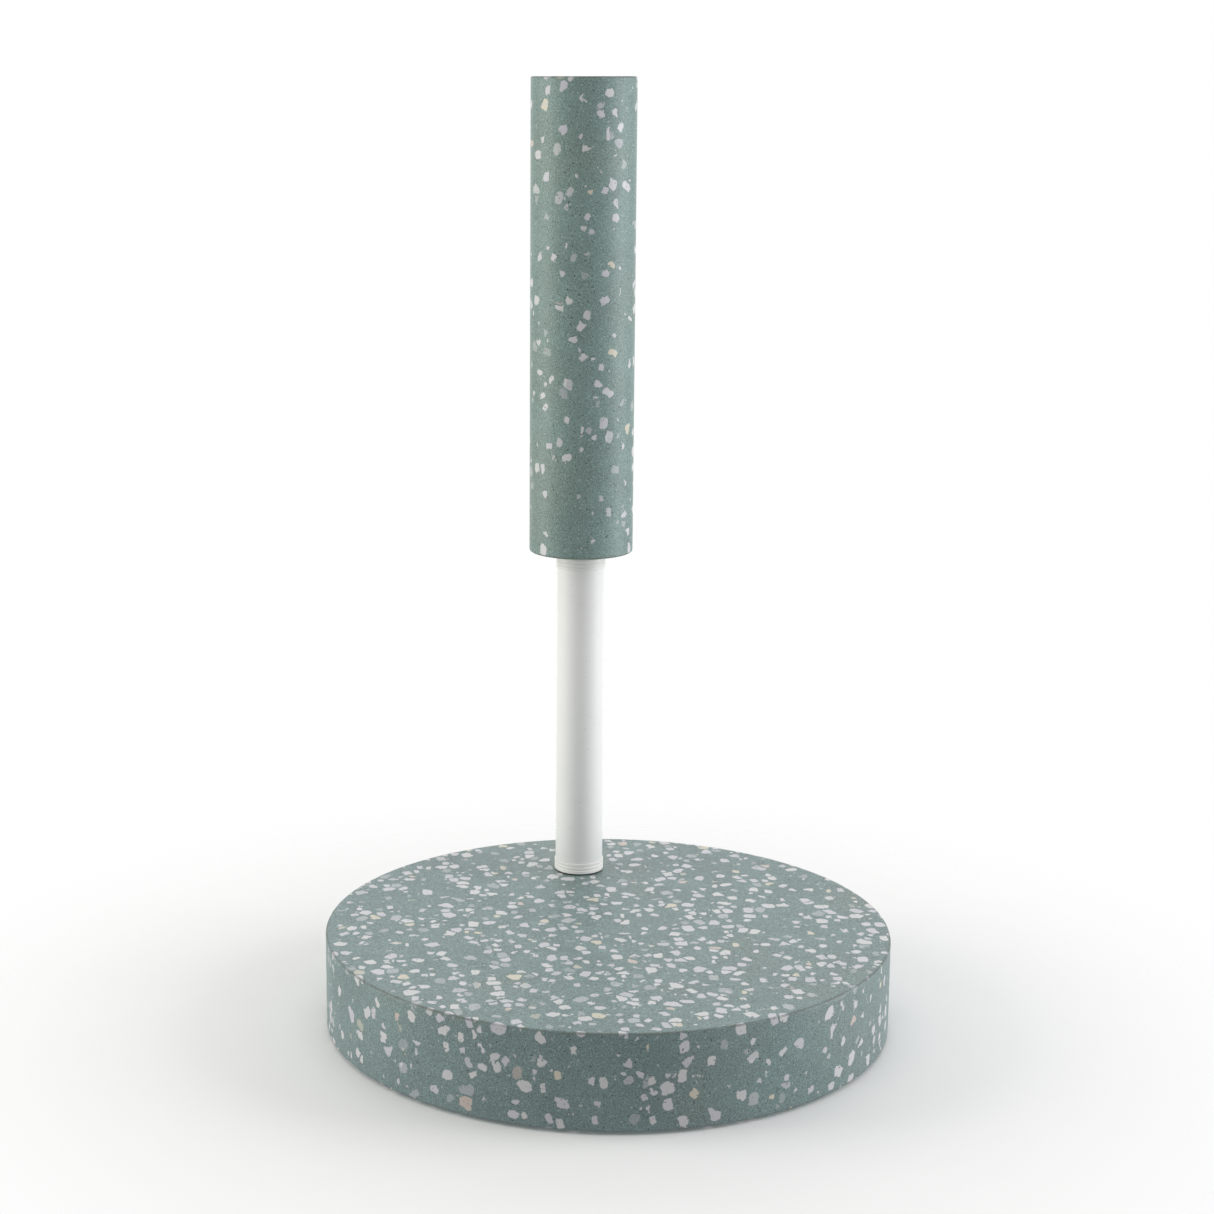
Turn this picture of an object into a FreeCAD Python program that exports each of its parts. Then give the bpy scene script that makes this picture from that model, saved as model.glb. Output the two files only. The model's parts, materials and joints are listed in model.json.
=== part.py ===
"""Paper towel holder: a terrazzo base, a white post near its rim, and a terrazzo column that turns on it.

A threaded tie rod clamps the fixed stack together, from the nut under the base up to the lock nut in the
column's head: washers, base, gasket, lower plug, stem tube, upper plug, spindle and top washer. The column,
with its liner, two flanged bushes and cap, turns on the spindle and rests on a thrust washer.

Millimetres. +Z is up, the origin is the centre of the face that the holder stands on, and the post is on the
+Y side.
"""
import FreeCAD, Part
import math
import os

from FreeCAD import Vector

# ---- overall sizes
OVERALL_HEIGHT = 298.0
BASE_DIAMETER = 180.0
BASE_HEIGHT = 31.0                 # from the table to the base's top face
POST_TO_RIM = 32.5                 # from the post's axis to the base's edge
STEM_EXPOSED = 111.5               # from the base's top face to the column's lower face
COLUMN_DIAMETER = 34.5
ARRIS = 0.6                        # rounding of the terrazzo edges

# ---- non-slip pad in a recess under the base
PAD_THICKNESS = 2.0
PAD_REVEAL = 1.0                   # how far the pad stands out of its recess
PAD_INSET = 4.0                    # from the base's edge to the pad's edge
PAD_GAP = 0.1                      # all round the pad, in its recess
ACCESS_MARGIN = 1.0                # how much wider than the nut pocket the pad's hole is, all round

# ---- tie rod, nuts and washers
ROD_DIAMETER = 8.0
ROD_CHAMFER = 0.8
ROD_CLEARANCE = 0.3                # all round the rod, in everything that it passes through
ROD_STICKOUT = 1.2                 # how far the rod stands out of each nut
ROD_RECESS = 1.3                   # from the rod's foot to the base's underside
NUT_WALL = 2.5                     # from the thread to the nut's flats
NUT_HEIGHT = 6.5
NUT_CHAMFER_ANGLE = 30.0
WASHER_WALL = 7.0                  # ring width of the wide washer under the base
WASHER_THICKNESS = 2.0
SPRING_WASHER_WALL = 3.2
SPRING_WASHER_THICKNESS = 2.0
SPRING_WASHER_SLOT = 1.0
SPRING_WASHER_SLOT_TILT = 25.0
POCKET_CLEARANCE = 2.0             # round the wide washer, in the base's nut pocket
TOP_WASHER_WALL = 3.8
TOP_WASHER_THICKNESS = 1.6
LOCK_NUT_HEX_HEIGHT = 5.4
LOCK_COLLAR_HEIGHT = 2.6
LOCK_COLLAR_WALL = 0.9
LOCK_COLLAR_LIP = 0.6              # the crimped lip over the locking ring: its reach, and its thickness
LOCK_RING_HEIGHT = 1.8
LOCK_RING_WALL = 1.3

# ---- stem tube, its gasket and its two end plugs
STEM_DIAMETER = 16.0
STEM_WALL = 1.5
GASKET_THICKNESS = 0.5
GASKET_INSET = 0.3                 # how far the gasket's edge lies inside the plug's rim
PLUG_RIM_HEIGHT = 3.6
PLUG_RIM_PROUD = 0.3               # how far a plug's rim stands out past the tube
PLUG_RIM_ROUND = 0.2
PLUG_GROOVES = 2
PLUG_GROOVE_DEPTH = 0.2
PLUG_GROOVE_WIDTH = 0.5
SPIGOT_LENGTH = 12.0
SPIGOT_FINS = 4
SPIGOT_FIN_THICKNESS = 1.2
SPIGOT_FIN_SHARE = 0.5             # a fin's share of the room between the rod's hole and the tube

# ---- turning parts
SPINDLE_WALL = 1.7
RUNNING_CLEARANCE = 0.05           # round the spindle, in the bushes and the thrust washer
AXIAL_PLAY = 0.3
THRUST_WASHER_THICKNESS = 2.0
BUSH_WALL = 2.0
BUSH_LENGTH = 14.0                 # beyond the flange
BUSH_FLANGE_THICKNESS = 1.5
BUSH_FLANGE_OVERLAP = 1.0          # how far a flange reaches out past the liner

# ---- plastic liners that are cast into the terrazzo, with ribs that key into it
LINER_WALL = 1.5
LINER_RIB_HEIGHT = 0.8
LINER_RIB_WIDTH = 2.0
BASE_LINER_RIBS = 2
COLUMN_LINER_RIBS = 4

# ---- cap that closes the column's head
CAP_THICKNESS = 2.0
CAP_ROUND = 0.4
CAP_SKIRT_WALL = 1.2
CAP_SKIRT_DEPTH = 5.0
CAP_FIT_GAP = 0.05                 # all round the cap, in the column's head
CAP_NUT_GAP = 0.3                  # at least this far from the cap's skirt to the nut and washer inside it
CAP_HEADROOM = 1.4                 # from the rod's head to the cap

# ---- derived radii
BASE_RADIUS = BASE_DIAMETER / 2
COLUMN_RADIUS = COLUMN_DIAMETER / 2
PAD_RADIUS = BASE_RADIUS - PAD_INSET
ROD_RADIUS = ROD_DIAMETER / 2
ROD_HOLE_RADIUS = ROD_RADIUS + ROD_CLEARANCE
NUT_FLAT_RADIUS = ROD_RADIUS + NUT_WALL
NUT_CORNER_RADIUS = NUT_FLAT_RADIUS / math.cos(math.pi / 6)
WASHER_RADIUS = ROD_HOLE_RADIUS + WASHER_WALL
SPRING_WASHER_RADIUS = ROD_HOLE_RADIUS + SPRING_WASHER_WALL
TOP_WASHER_RADIUS = ROD_HOLE_RADIUS + TOP_WASHER_WALL
POCKET_RADIUS = WASHER_RADIUS + POCKET_CLEARANCE
LOCK_RING_RADIUS = ROD_RADIUS + LOCK_RING_WALL
LOCK_COLLAR_RADIUS = LOCK_RING_RADIUS + LOCK_COLLAR_WALL
STEM_RADIUS = STEM_DIAMETER / 2
STEM_BORE_RADIUS = STEM_RADIUS - STEM_WALL
PLUG_RIM_RADIUS = STEM_RADIUS + PLUG_RIM_PROUD
SPIGOT_CORE_RADIUS = STEM_BORE_RADIUS - (STEM_BORE_RADIUS - ROD_HOLE_RADIUS) * SPIGOT_FIN_SHARE
BASE_LINER_RADIUS = ROD_HOLE_RADIUS + LINER_WALL
SPINDLE_RADIUS = ROD_HOLE_RADIUS + SPINDLE_WALL
BUSH_BORE_RADIUS = SPINDLE_RADIUS + RUNNING_CLEARANCE
BUSH_RADIUS = BUSH_BORE_RADIUS + BUSH_WALL
COLUMN_LINER_RADIUS = BUSH_RADIUS + LINER_WALL
FLANGE_RADIUS = COLUMN_LINER_RADIUS + BUSH_FLANGE_OVERLAP
CAP_CONTENTS_RADIUS = max(NUT_CORNER_RADIUS, TOP_WASHER_RADIUS)
HEAD_RADIUS = max(FLANGE_RADIUS, CAP_CONTENTS_RADIUS + CAP_NUT_GAP + CAP_SKIRT_WALL + CAP_FIT_GAP)

# ---- derived heights under the base, from the table up
BASE_UNDERSIDE = PAD_REVEAL
ROD_FOOT = BASE_UNDERSIDE + ROD_RECESS
NUT_FOOT = ROD_FOOT + ROD_STICKOUT
NUT_HEAD = NUT_FOOT + NUT_HEIGHT
WASHER_FOOT = NUT_HEAD + SPRING_WASHER_THICKNESS
POCKET_CEILING = WASHER_FOOT + WASHER_THICKNESS

# ---- derived heights of the stem
GASKET_TOP = BASE_HEIGHT + GASKET_THICKNESS
TUBE_FOOT = GASKET_TOP + PLUG_RIM_HEIGHT
COLUMN_FOOT = BASE_HEIGHT + STEM_EXPOSED
UPPER_PLUG_TOP = COLUMN_FOOT - THRUST_WASHER_THICKNESS
TUBE_HEAD = UPPER_PLUG_TOP - PLUG_RIM_HEIGHT

# ---- derived heights in the column, from its head down
CAP_UNDERSIDE = OVERALL_HEIGHT - CAP_THICKNESS
ROD_HEAD = CAP_UNDERSIDE - CAP_HEADROOM
LOCK_NUT_HEAD = ROD_HEAD - ROD_STICKOUT
LOCK_RING_HEAD = LOCK_NUT_HEAD - LOCK_COLLAR_LIP
LOCK_HEX_HEAD = LOCK_NUT_HEAD - LOCK_COLLAR_HEIGHT
LOCK_NUT_FOOT = LOCK_HEX_HEAD - LOCK_NUT_HEX_HEIGHT
SPINDLE_HEAD = LOCK_NUT_FOOT - TOP_WASHER_THICKNESS
UPPER_BUSH_FACE = SPINDLE_HEAD - AXIAL_PLAY
LINER_HEAD = UPPER_BUSH_FACE - BUSH_FLANGE_THICKNESS
LINER_FOOT = COLUMN_FOOT + BUSH_FLANGE_THICKNESS

UP = Vector(0, 0, 1)
BASE_AXIS = Vector(0, 0, 0)
POST_AXIS = Vector(0, BASE_RADIUS - POST_TO_RIM, 0)
FULL_TURN = 360.0
HEX_SIDES = 6


def prism(points, foot, head):
    """An upright prism between two heights, from its outline of (x, y) points round the post's axis."""
    corners = [Vector(x, y, foot) + POST_AXIS for x, y in points]
    return Part.Face(Part.makePolygon(corners + corners[:1])).extrude(UP * (head - foot))


def turned(outline):
    """A solid of revolution about the post's axis, from its closed outline of (radius, height) points."""
    points = [Vector(radius, 0, height) for radius, height in outline]
    solid = Part.Face(Part.makePolygon(points + points[:1])).revolve(Vector(0, 0, 0), UP, FULL_TURN)
    solid.translate(POST_AXIS)
    return solid


def cylinder(radius, foot, head, axis=POST_AXIS):
    """A plain cylinder between two heights."""
    return Part.makeCylinder(radius, head - foot, axis + UP * foot, UP)


def tube(outer, inner, foot, head):
    """A plain tube round the post's axis, between two heights."""
    return cylinder(outer, foot, head).cut(cylinder(inner, foot, head))


def rims(solid, radius, heights, axis=POST_AXIS):
    """The circular edges of one radius at the given heights, round a vertical axis."""
    found = []
    for edge in solid.Edges:
        if isinstance(edge.Curve, Part.Circle) and math.isclose(edge.Curve.Radius, radius):
            centre = edge.Curve.Center - axis
            if any(centre.isEqual(UP * height, 1e-6) for height in heights):
                found.append(edge)
    return found


def ribbed_tube(radius, inner, foot, head, ribs):
    """A liner's shape: a tube with evenly spaced square ribs, or a solid bar if its inner radius is 0."""
    outline = [(inner, foot), (radius, foot)]
    for i in range(1, ribs + 1):
        middle = foot + (head - foot) * i / (ribs + 1)
        low = middle - LINER_RIB_WIDTH / 2
        high = middle + LINER_RIB_WIDTH / 2
        outline += [(radius, low), (radius + LINER_RIB_HEIGHT, low)]
        outline += [(radius + LINER_RIB_HEIGHT, high), (radius, high)]
    return turned(outline + [(radius, head), (inner, head)])


def base_liner(inner=ROD_HOLE_RADIUS):
    """Plastic sleeve cast into the base, which forms the rod's hole."""
    return ribbed_tube(BASE_LINER_RADIUS, inner, POCKET_CEILING, BASE_HEIGHT, BASE_LINER_RIBS)


def base_disc():
    """Terrazzo disc with a recess for the pad, a pocket for the nut and a hole that the liner fills."""
    disc = cylinder(BASE_RADIUS, BASE_UNDERSIDE, BASE_HEIGHT, BASE_AXIS)
    disc = disc.makeFillet(ARRIS, rims(disc, BASE_RADIUS, (BASE_UNDERSIDE, BASE_HEIGHT), BASE_AXIS))
    pad_recess = cylinder(PAD_RADIUS + PAD_GAP, 0, PAD_THICKNESS, BASE_AXIS)
    pocket = cylinder(POCKET_RADIUS, 0, POCKET_CEILING)
    return disc.cut(pad_recess).cut(pocket).cut(base_liner(inner=0))


def non_slip_pad():
    """Soft sheet glued in the base's recess, with a hole that gives access to the nut."""
    access = cylinder(POCKET_RADIUS + ACCESS_MARGIN, 0, PAD_THICKNESS)
    return cylinder(PAD_RADIUS, 0, PAD_THICKNESS, BASE_AXIS).cut(access)


def tie_rod():
    """Threaded rod, drawn as a plain bar of its thread's outer diameter with bevelled ends."""
    bar = cylinder(ROD_RADIUS, ROD_FOOT, ROD_HEAD)
    return bar.makeChamfer(ROD_CHAMFER, rims(bar, ROD_RADIUS, (ROD_FOOT, ROD_HEAD)))


def hexagon(foot, head, bevel_foot):
    """A nut's hexagon, with its corners bevelled at the head, and at the foot too if bevel_foot."""
    angles = [math.tau * i / HEX_SIDES for i in range(HEX_SIDES)]
    corners = [(NUT_CORNER_RADIUS * math.cos(a), NUT_CORNER_RADIUS * math.sin(a)) for a in angles]
    bevel = (NUT_CORNER_RADIUS - NUT_FLAT_RADIUS) * math.tan(math.radians(NUT_CHAMFER_ANGLE))
    envelope = [(0, foot), (NUT_CORNER_RADIUS, foot)]
    if bevel_foot:
        envelope = [(0, foot), (NUT_FLAT_RADIUS, foot), (NUT_CORNER_RADIUS, foot + bevel)]
    envelope += [(NUT_CORNER_RADIUS, head - bevel), (NUT_FLAT_RADIUS, head), (0, head)]
    return prism(corners, foot, head).common(turned(envelope))


def base_nut():
    """Plain hexagon nut under the base."""
    return hexagon(NUT_FOOT, NUT_HEAD, True).cut(cylinder(ROD_RADIUS, NUT_FOOT, NUT_HEAD))


def base_spring_washer():
    """Split spring washer, drawn as it lies when it is clamped flat."""
    ring = tube(SPRING_WASHER_RADIUS, ROD_HOLE_RADIUS, NUT_HEAD, WASHER_FOOT)
    slot_height = 4 * SPRING_WASHER_THICKNESS
    slot = Part.makeBox(SPRING_WASHER_SLOT, SPRING_WASHER_RADIUS + 1, slot_height)
    slot.translate(Vector(-SPRING_WASHER_SLOT / 2, 0, -slot_height / 2))
    slot.rotate(Vector(0, 0, 0), Vector(0, 1, 0), SPRING_WASHER_SLOT_TILT)
    slot.translate(POST_AXIS + UP * (NUT_HEAD + WASHER_FOOT) / 2)
    return ring.cut(slot)


def base_washer():
    """Wide flat washer that spreads the nut's load over the pocket's ceiling."""
    return tube(WASHER_RADIUS, ROD_HOLE_RADIUS, WASHER_FOOT, POCKET_CEILING)


def foot_gasket():
    """Dark fibre ring between the base and the post."""
    return tube(PLUG_RIM_RADIUS - GASKET_INSET, ROD_HOLE_RADIUS, BASE_HEIGHT, GASKET_TOP)


def end_plug(shoulder, direction):
    """White plug in one end of the stem tube, with a grooved rim that shows and fins that grip the tube.

    The tube's end meets the rim at the height shoulder. direction is +1 where the spigot points up, -1 where
    it points down.
    """
    face = shoulder - direction * PLUG_RIM_HEIGHT
    rim_outline = [(ROD_HOLE_RADIUS, shoulder), (ROD_HOLE_RADIUS, face), (PLUG_RIM_RADIUS, face)]
    for i in range(1, PLUG_GROOVES + 1):
        middle = face + direction * PLUG_RIM_HEIGHT * i / (PLUG_GROOVES + 1)
        half = direction * PLUG_GROOVE_WIDTH / 2
        rim_outline += [(PLUG_RIM_RADIUS, middle - half), (PLUG_RIM_RADIUS - PLUG_GROOVE_DEPTH, middle)]
        rim_outline += [(PLUG_RIM_RADIUS, middle + half)]
    rim = turned(rim_outline + [(PLUG_RIM_RADIUS, shoulder)])
    rim = rim.makeFillet(PLUG_RIM_ROUND, rims(rim, PLUG_RIM_RADIUS, (shoulder,)))
    end = shoulder + direction * SPIGOT_LENGTH
    core = tube(SPIGOT_CORE_RADIUS, ROD_HOLE_RADIUS, min(shoulder, end), max(shoulder, end))
    fins = []
    for i in range(SPIGOT_FINS):
        near = shoulder + direction * SPIGOT_LENGTH * i / SPIGOT_FINS
        far = near + direction * SPIGOT_FIN_THICKNESS
        fins.append(tube(STEM_BORE_RADIUS, ROD_HOLE_RADIUS, min(near, far), max(near, far)))
    return rim.fuse([core] + fins).removeSplitter()


def stem_tube():
    """White tube that shows between the base and the column."""
    return tube(STEM_RADIUS, STEM_BORE_RADIUS, TUBE_FOOT, TUBE_HEAD)


def spindle():
    """Steel spacer on the rod, on which the column turns."""
    return tube(SPINDLE_RADIUS, ROD_HOLE_RADIUS, UPPER_PLUG_TOP, SPINDLE_HEAD)


def thrust_washer():
    """Ring on the upper plug, which carries the column."""
    return tube(PLUG_RIM_RADIUS, BUSH_BORE_RADIUS, UPPER_PLUG_TOP, COLUMN_FOOT)


def top_washer():
    """Washer that keeps the column on the spindle."""
    return tube(TOP_WASHER_RADIUS, ROD_HOLE_RADIUS, SPINDLE_HEAD, LOCK_NUT_FOOT)


def lock_nut():
    """Hexagon nut with a crimped collar that holds the locking ring."""
    collar = cylinder(LOCK_COLLAR_RADIUS, LOCK_HEX_HEAD, LOCK_NUT_HEAD)
    thread = cylinder(ROD_RADIUS, LOCK_NUT_FOOT, LOCK_NUT_HEAD)
    seat = cylinder(LOCK_RING_RADIUS, LOCK_RING_HEAD - LOCK_RING_HEIGHT, LOCK_RING_HEAD)
    mouth = cylinder(LOCK_RING_RADIUS - LOCK_COLLAR_LIP, LOCK_RING_HEAD, LOCK_NUT_HEAD)
    blank = hexagon(LOCK_NUT_FOOT, LOCK_HEX_HEAD, False).fuse(collar)
    return blank.cut(thread).cut(seat).cut(mouth).removeSplitter()


def lock_nut_ring():
    """Plastic ring in the lock nut, which grips the thread."""
    return tube(LOCK_RING_RADIUS, ROD_RADIUS, LOCK_RING_HEAD - LOCK_RING_HEIGHT, LOCK_RING_HEAD)


def column_liner(inner=BUSH_RADIUS):
    """Plastic tube cast into the column, which holds the bushes."""
    return ribbed_tube(COLUMN_LINER_RADIUS, inner, LINER_FOOT, LINER_HEAD, COLUMN_LINER_RIBS)


def column():
    """Terrazzo column with a bore that the liner fills, a seat for the lower bush and a recess in its head.

    The recess holds the upper bush, the lock nut and the cap.
    """
    blank = cylinder(COLUMN_RADIUS, COLUMN_FOOT, OVERALL_HEIGHT)
    blank = blank.makeFillet(ARRIS, rims(blank, COLUMN_RADIUS, (COLUMN_FOOT, OVERALL_HEIGHT)))
    foot_seat = cylinder(FLANGE_RADIUS, COLUMN_FOOT, LINER_FOOT)
    head_recess = cylinder(HEAD_RADIUS, LINER_HEAD, OVERALL_HEIGHT)
    return blank.cut(foot_seat).cut(head_recess).cut(column_liner(inner=0))


def flanged_bush(face, direction):
    """Plain bearing pressed into the liner, from its flange's face.

    direction is +1 where the bearing points up from its flange, -1 where it points down.
    """
    shoulder = face + direction * BUSH_FLANGE_THICKNESS
    end = shoulder + direction * BUSH_LENGTH
    return turned([(BUSH_BORE_RADIUS, face), (FLANGE_RADIUS, face), (FLANGE_RADIUS, shoulder),
                   (BUSH_RADIUS, shoulder), (BUSH_RADIUS, end), (BUSH_BORE_RADIUS, end)])


def top_cap():
    """White cap, flush with the column's head, with a skirt that grips the recess."""
    radius = HEAD_RADIUS - CAP_FIT_GAP
    lid = cylinder(radius, CAP_UNDERSIDE, OVERALL_HEIGHT)
    lid = lid.makeFillet(CAP_ROUND, rims(lid, radius, (OVERALL_HEIGHT,)))
    skirt = tube(radius, radius - CAP_SKIRT_WALL, CAP_UNDERSIDE - CAP_SKIRT_DEPTH, CAP_UNDERSIDE)
    return lid.fuse(skirt).removeSplitter()


PIECES = {
    "base_disc": base_disc(),
    "base_liner": base_liner(),
    "non_slip_pad": non_slip_pad(),
    "tie_rod": tie_rod(),
    "base_nut": base_nut(),
    "base_spring_washer": base_spring_washer(),
    "base_washer": base_washer(),
    "foot_gasket": foot_gasket(),
    "lower_plug": end_plug(TUBE_FOOT, 1),
    "stem_tube": stem_tube(),
    "upper_plug": end_plug(TUBE_HEAD, -1),
    "spindle": spindle(),
    "thrust_washer": thrust_washer(),
    "top_washer": top_washer(),
    "lock_nut": lock_nut(),
    "lock_nut_ring": lock_nut_ring(),
    "column": column(),
    "column_liner": column_liner(),
    "lower_bush": flanged_bush(COLUMN_FOOT, 1),
    "upper_bush": flanged_bush(UPPER_BUSH_FACE, -1),
    "top_cap": top_cap(),
}

os.makedirs("parts", exist_ok=True)
for name, shape in PIECES.items():
    shape.exportStep(os.path.join("parts", name + ".step"))
    print(f"{name:20s} solids {len(shape.Solids)}  valid {shape.isValid()}  volume {shape.Volume:10.1f}")
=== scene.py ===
"""Looks of the paper towel holder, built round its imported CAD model. Metres, in the CAD model's own frame.

Turned pieces take their outlines from the CAD nodes that they stand for, with finer arcs and softened edges.
"""
import json
import math

import bmesh
import bpy
from mathutils import Matrix, Vector, noise


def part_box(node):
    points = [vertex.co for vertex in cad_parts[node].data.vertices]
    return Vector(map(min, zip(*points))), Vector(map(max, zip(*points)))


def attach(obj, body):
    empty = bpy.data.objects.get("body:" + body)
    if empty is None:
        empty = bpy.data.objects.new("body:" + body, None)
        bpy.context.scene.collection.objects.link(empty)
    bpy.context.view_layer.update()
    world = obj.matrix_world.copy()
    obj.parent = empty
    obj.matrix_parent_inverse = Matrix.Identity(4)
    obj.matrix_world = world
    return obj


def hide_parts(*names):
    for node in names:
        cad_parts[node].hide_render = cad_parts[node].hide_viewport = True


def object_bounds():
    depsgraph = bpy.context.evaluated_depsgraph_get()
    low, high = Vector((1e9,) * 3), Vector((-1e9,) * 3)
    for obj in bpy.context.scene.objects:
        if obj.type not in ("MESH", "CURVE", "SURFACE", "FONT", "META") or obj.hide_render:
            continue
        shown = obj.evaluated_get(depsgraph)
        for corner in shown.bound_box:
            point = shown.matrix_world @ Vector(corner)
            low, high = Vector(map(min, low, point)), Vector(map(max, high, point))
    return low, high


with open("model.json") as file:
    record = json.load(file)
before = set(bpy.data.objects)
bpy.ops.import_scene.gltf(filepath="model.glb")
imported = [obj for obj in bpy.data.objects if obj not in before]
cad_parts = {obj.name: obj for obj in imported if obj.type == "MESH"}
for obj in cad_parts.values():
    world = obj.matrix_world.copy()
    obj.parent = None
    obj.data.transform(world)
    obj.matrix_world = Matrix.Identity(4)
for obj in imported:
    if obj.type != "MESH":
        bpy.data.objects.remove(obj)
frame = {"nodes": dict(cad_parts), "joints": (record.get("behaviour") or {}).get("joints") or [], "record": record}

CAD_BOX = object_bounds()
MM = 0.001
TOLERANCE = 1e-6
POST = Vector(frame["joints"][0]["pos_m"]) * Vector((1, 1, 0))
BASE = Vector((0, 0, 0))
SLOTS = {row["node"]: row["material_slot"] for row in frame["record"]["subparts"]}
BODIES = {node: body for body, nodes in frame["record"]["behaviour"]["bodies"].items() for node in nodes}

FINE_TURN = 144               # mesh faces round the post's small parts
COLUMN_TURN = 288
BASE_TURN = 720
ARC_STEPS = 5                 # mesh faces round a rounded corner
ARC_SHARE = 0.45              # the most of a side that the arc at each of its ends may take
STRAIGHT = math.radians(80)   # half of a corner's angle, over which it is left as it is
CREASE = math.radians(30)     # edges sharper than this are shaded as edges


# ---- mesh helpers
def ring_radii(node, height, axis):
    """The distances from a vertical axis of a CAD node's mesh points at one height, smallest first."""
    points = [vertex.co for vertex in frame["nodes"][node].data.vertices]
    return sorted((point - axis).xy.length for point in points if abs(point.z - height) < TOLERANCE)


def outside(node):
    """The outside of a CAD node turned about the post, as (radius, height) points from its foot up."""
    rings = {}
    for vertex in frame["nodes"][node].data.vertices:
        rings.setdefault(round(vertex.co.z, 7), set()).add(round((vertex.co - POST).xy.length, 6))
    inner = min(min(radii) for radii in rings.values())
    outline = []
    for height in sorted(rings):
        radii = sorted(rings[height] - {inner})
        if outline and outline[-1][0] > radii[0]:
            radii.reverse()
        outline += [(radius, height) for radius in radii]
    return outline


def whole(node):
    """The closed outline of a CAD node turned about the post, with its bore."""
    low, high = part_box(node)
    bore = ring_radii(node, low.z, POST)[0]
    return [(bore, low.z)] + outside(node) + [(bore, high.z)]


def softened(outline, rounding):
    """A closed outline with its corners rounded, but for those at the axis.

    rounding is one size, or a list with a size for each corner.
    """
    result = []
    for i, corner in enumerate(outline):
        here = Vector(corner)
        size = rounding[i] if isinstance(rounding, list) else rounding
        back = Vector(outline[i - 1]) - here
        on = Vector(outline[(i + 1) % len(outline)]) - here
        half = back.angle(on) / 2
        if here.x < TOLERANCE or size == 0 or half > STRAIGHT:
            result.append(here)
            continue
        reach = min(size / math.tan(half), back.length * ARC_SHARE, on.length * ARC_SHARE)
        centre = here + (back.normalized() + on.normalized()).normalized() * reach / math.cos(half)
        spoke = here + back.normalized() * reach - centre
        turn = spoke.angle_signed(here + on.normalized() * reach - centre)
        for step in range(ARC_STEPS + 1):
            result.append(centre + Matrix.Rotation(-turn * step / ARC_STEPS, 2) @ spoke)
    return [(point.x, point.y) for point in result]


def guarded(outline, radius, heights):
    """The outline with extra points beside its two worn edges.

    They keep the edges' shading off the wall and off the flats.
    """
    result = []
    for corner in outline:
        at_foot = corner == (radius, heights[0])
        at_head = corner == (radius, heights[1])
        gap = GUARD if at_foot else -GUARD
        flat = (radius - GUARD, corner[1])
        wall = (radius, corner[1] + gap)
        result += [flat, corner, wall] if at_foot else [wall, corner, flat] if at_head else [corner]
    return result


def make(name, vertices, faces):
    """A new piece from its points and faces, with its faces turned outwards."""
    mesh = bpy.data.meshes.new(name)
    mesh.from_pydata(vertices, [], faces)
    work = bmesh.new()
    work.from_mesh(mesh)
    bmesh.ops.recalc_face_normals(work, faces=work.faces)
    work.to_mesh(mesh)
    work.free()
    piece = bpy.data.objects.new(name, mesh)
    bpy.context.scene.collection.objects.link(piece)
    return piece


def lathe(name, outline, axis=POST, turns=FINE_TURN, shape=None):
    """A piece turned about a vertical axis from a closed outline, which may start and end on the axis.

    shape, if given, works out each point's radius from its angle, its radius in the outline and its height.
    """
    vertices = []
    rings = []
    for radius, height in outline:
        ring = []
        for step in range(turns if radius > TOLERANCE else 1):
            angle = math.tau * step / turns
            reach = shape(angle, radius, height) if shape and radius > TOLERANCE else radius
            ring.append(len(vertices))
            vertices.append(axis + Vector((reach * math.cos(angle), reach * math.sin(angle), height)))
        rings.append(ring)
    faces = []
    for low, high in zip(rings, rings[1:] + rings[:1]):
        for step in range(turns if len(low) + len(high) > 2 else 0):
            near, far = step, (step + 1) % turns
            corners = [low[near % len(low)], low[far % len(low)]]
            corners += [high[far % len(high)], high[near % len(high)]]
            faces.append(list(dict.fromkeys(corners)))
    return make(name, vertices, faces)


def cut(piece, cutter):
    """Takes the cutter's solid out of the piece, and merges the points that then lie on each other."""
    modifier = piece.modifiers.new("cut", "BOOLEAN")
    modifier.operation = "DIFFERENCE"
    modifier.solver = "EXACT"
    modifier.object = cutter
    graph = bpy.context.evaluated_depsgraph_get()
    mesh = bpy.data.meshes.new_from_object(piece.evaluated_get(graph))
    work = bmesh.new()
    work.from_mesh(mesh)
    bmesh.ops.remove_doubles(work, verts=work.verts, dist=TOLERANCE)
    work.to_mesh(mesh)
    work.free()
    piece.modifiers.clear()
    piece.data = mesh
    bpy.data.objects.remove(cutter)


def place(piece, node, look):
    """Puts a finished piece in its CAD node's place, on its body and in its material slot."""
    piece.data.shade_smooth()
    piece.data.set_sharp_from_angle(angle=CREASE)
    piece.data.materials.clear()
    piece.data.materials.append(look)
    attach(piece, BODIES[node])
    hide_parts(node)
    return piece


RUB_SIZE, RUB_DEPTH = 2.4 * MM, 0.10 * MM
NICK_SIZE, NICK_DEPTH = 4.5 * MM, 1.4 * MM
NICK_LEVEL = 0.42             # of the noise; a nick lies where it is higher
NICK_SHIFT = Vector((7.3, 1.9, 4.1))
WEAR_SHARE = 0.6              # the most of the edge's rounding that wears off


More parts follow.
